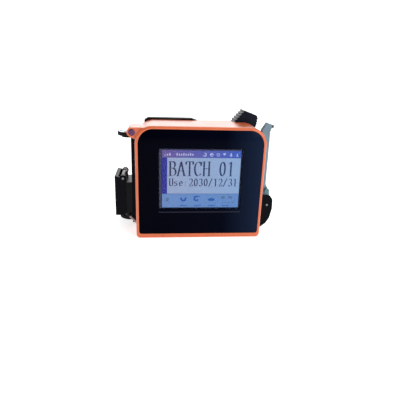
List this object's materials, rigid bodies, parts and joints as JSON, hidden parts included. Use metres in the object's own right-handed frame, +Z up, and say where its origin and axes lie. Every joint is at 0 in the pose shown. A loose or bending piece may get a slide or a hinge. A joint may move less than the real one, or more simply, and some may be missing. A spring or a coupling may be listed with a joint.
{
  "type": "handheld date code inkjet printer",
  "caption": "Palm-size handheld inkjet date coder with a touch screen, a capped print nose between guide wheels, and a latched cartridge with a ribbed grip.",
  "frame": {"origin": "middle of the flat base that the case stands on", "axes": "+Z up, +X to the operator's right as they read the screen, +Y from the screen to the rear cover; the print nose is on -X and the cartridge latch on +X"},
  "size_m": [0.124, 0.05, 0.0917],
  "materials": {
    "shell_orange": "fine satin moulded plastic",
    "shell_black": "fine satin moulded plastic",
    "screw_dark": "black oxide",
    "cover_glass": "polished",
    "mask_black": "printed border",
    "seal_rubber": "soft matt",
    "lcd_steel": "thin folded sheet",
    "display": "lit display",
    "flex_amber": "polyimide ribbon",
    "board_green": "solder resist",
    "chip_black": "moulded package",
    "battery_wrap": "shrink wrap",
    "port_steel": "plated",
    "port_black": "moulded",
    "button_black": "soft touch",
    "bay_grey": "moulded",
    "screw_steel": "plain",
    "gold_contact": "gold flash",
    "plate_black": "black anodised",
    "nose_black": "moulded",
    "pin_steel": "ground",
    "spring_steel": "drawn wire",
    "guard_steel": "folded strip",
    "screw_purple": "dark anodised",
    "bracket_black": "satin black",
    "tank_black": "moulded",
    "foam_ink": "soaked foam",
    "grip_black": "ribbed moulding",
    "nozzle_metal": "plated",
    "lever_blue": "blue grey anodised",
    "lever_teal": "teal anodised",
    "tip_black": "soft",
    "cap_black": "moulded",
    "hub_aluminium": "turned",
    "tyre_rubber": "moulded",
    "trigger_black": "satin"
  },
  "bodies": {
    "case": {"front_shell": "shell_orange", "rear_shell": "shell_black", "case_screws": "screw_dark", "cover_glass": "cover_glass", "glass_mask": "mask_black", "screen_gasket": "seal_rubber", "lcd_frame": "lcd_steel", "lcd_panel": "display", "lcd_flex": "flex_amber", "main_board": "board_green", "processor_chip": "chip_black", "board_parts": "chip_black", "battery_pack": "battery_wrap", "beeper": "chip_black", "usb_port": "port_steel", "charge_port": "port_black", "power_switch": "chip_black", "partition": "bay_grey", "partition_screws": "screw_steel", "cartridge_cradle": "bay_grey", "contact_block": "port_black", "contact_pins": "gold_contact", "contact_flex": "flex_amber", "side_plate": "plate_black", "plate_screws": "screw_dark", "nose_housing": "nose_black", "cap_hinge_pin": "pin_steel", "cap_spring": "spring_steel", "upper_axle_screw": "screw_steel", "lower_axle_screw": "screw_steel", "wheel_guard": "guard_steel", "lug_screw": "screw_purple", "encoder_sensor": "chip_black", "latch_bracket": "bracket_black", "bracket_screws": "screw_dark", "latch_pivot_pin": "pin_steel", "trigger_board": "board_green", "trigger_switches": "chip_black"},
    "cartridge": {"cartridge_body": "tank_black", "ink_foam": "foam_ink", "cartridge_lid": "tank_black", "cartridge_grip": "grip_black", "nozzle_plate": "nozzle_metal", "cartridge_pads": "gold_contact"},
    "lever": {"latch_lever": "lever_blue", "latch_cross_pin": "lever_teal", "latch_pad": "seal_rubber", "latch_tip": "tip_black", "latch_spring": "spring_steel"},
    "cap": {"nozzle_cap": "cap_black", "cap_seal": "seal_rubber"},
    "upper_wheel": {"upper_wheel_hub": "hub_aluminium", "upper_wheel_tyre": "tyre_rubber"},
    "lower_wheel": {"lower_wheel_hub": "hub_aluminium", "lower_wheel_tyre": "tyre_rubber"},
    "trigger": {"print_trigger": "trigger_black", "trigger_springs": "spring_steel"},
    "button": {"power_button": "button_black"}
  },
  "joints": [
    {"name": "lever_hinge", "type": "hinge", "parent": "case", "child": "lever", "pos_m": [0.05615, 0, 0.019], "axis": [0, 1, 0], "range_deg": [0, 95]},
    {"name": "cartridge_slide", "type": "slide", "parent": "case", "child": "cartridge", "axis": [1, 0, 0], "range_m": [0, 0.012]},
    {"name": "cap_hinge", "type": "hinge", "parent": "case", "child": "cap", "pos_m": [-0.05695, 0, 0.04], "axis": [0, 1, 0], "range_deg": [0, 180]},
    {"name": "upper_wheel_spin", "type": "hinge", "parent": "case", "child": "upper_wheel", "pos_m": [-0.05295, 0.004, 0.07345], "axis": [0, 0, 1], "continuous": true},
    {"name": "lower_wheel_spin", "type": "hinge", "parent": "case", "child": "lower_wheel", "pos_m": [-0.05295, 0.004, 0.00825], "axis": [0, 0, 1], "continuous": true},
    {"name": "trigger_press", "type": "slide", "parent": "case", "child": "trigger", "axis": [0, 0, -1], "range_m": [0, 0.0012], "stiffness_N_per_m": 600, "springref_m": -0.0004, "deforming": ["trigger_springs"]},
    {"name": "power_press", "type": "slide", "parent": "case", "child": "button", "axis": [-1, 0, 0], "range_m": [0, 0.0005], "stiffness_N_per_m": 500}
  ],
  "couplings": [
    {"joint": "cartridge_slide", "follows": "lever_hinge", "m_per_rad": 0.00723}
  ]
}
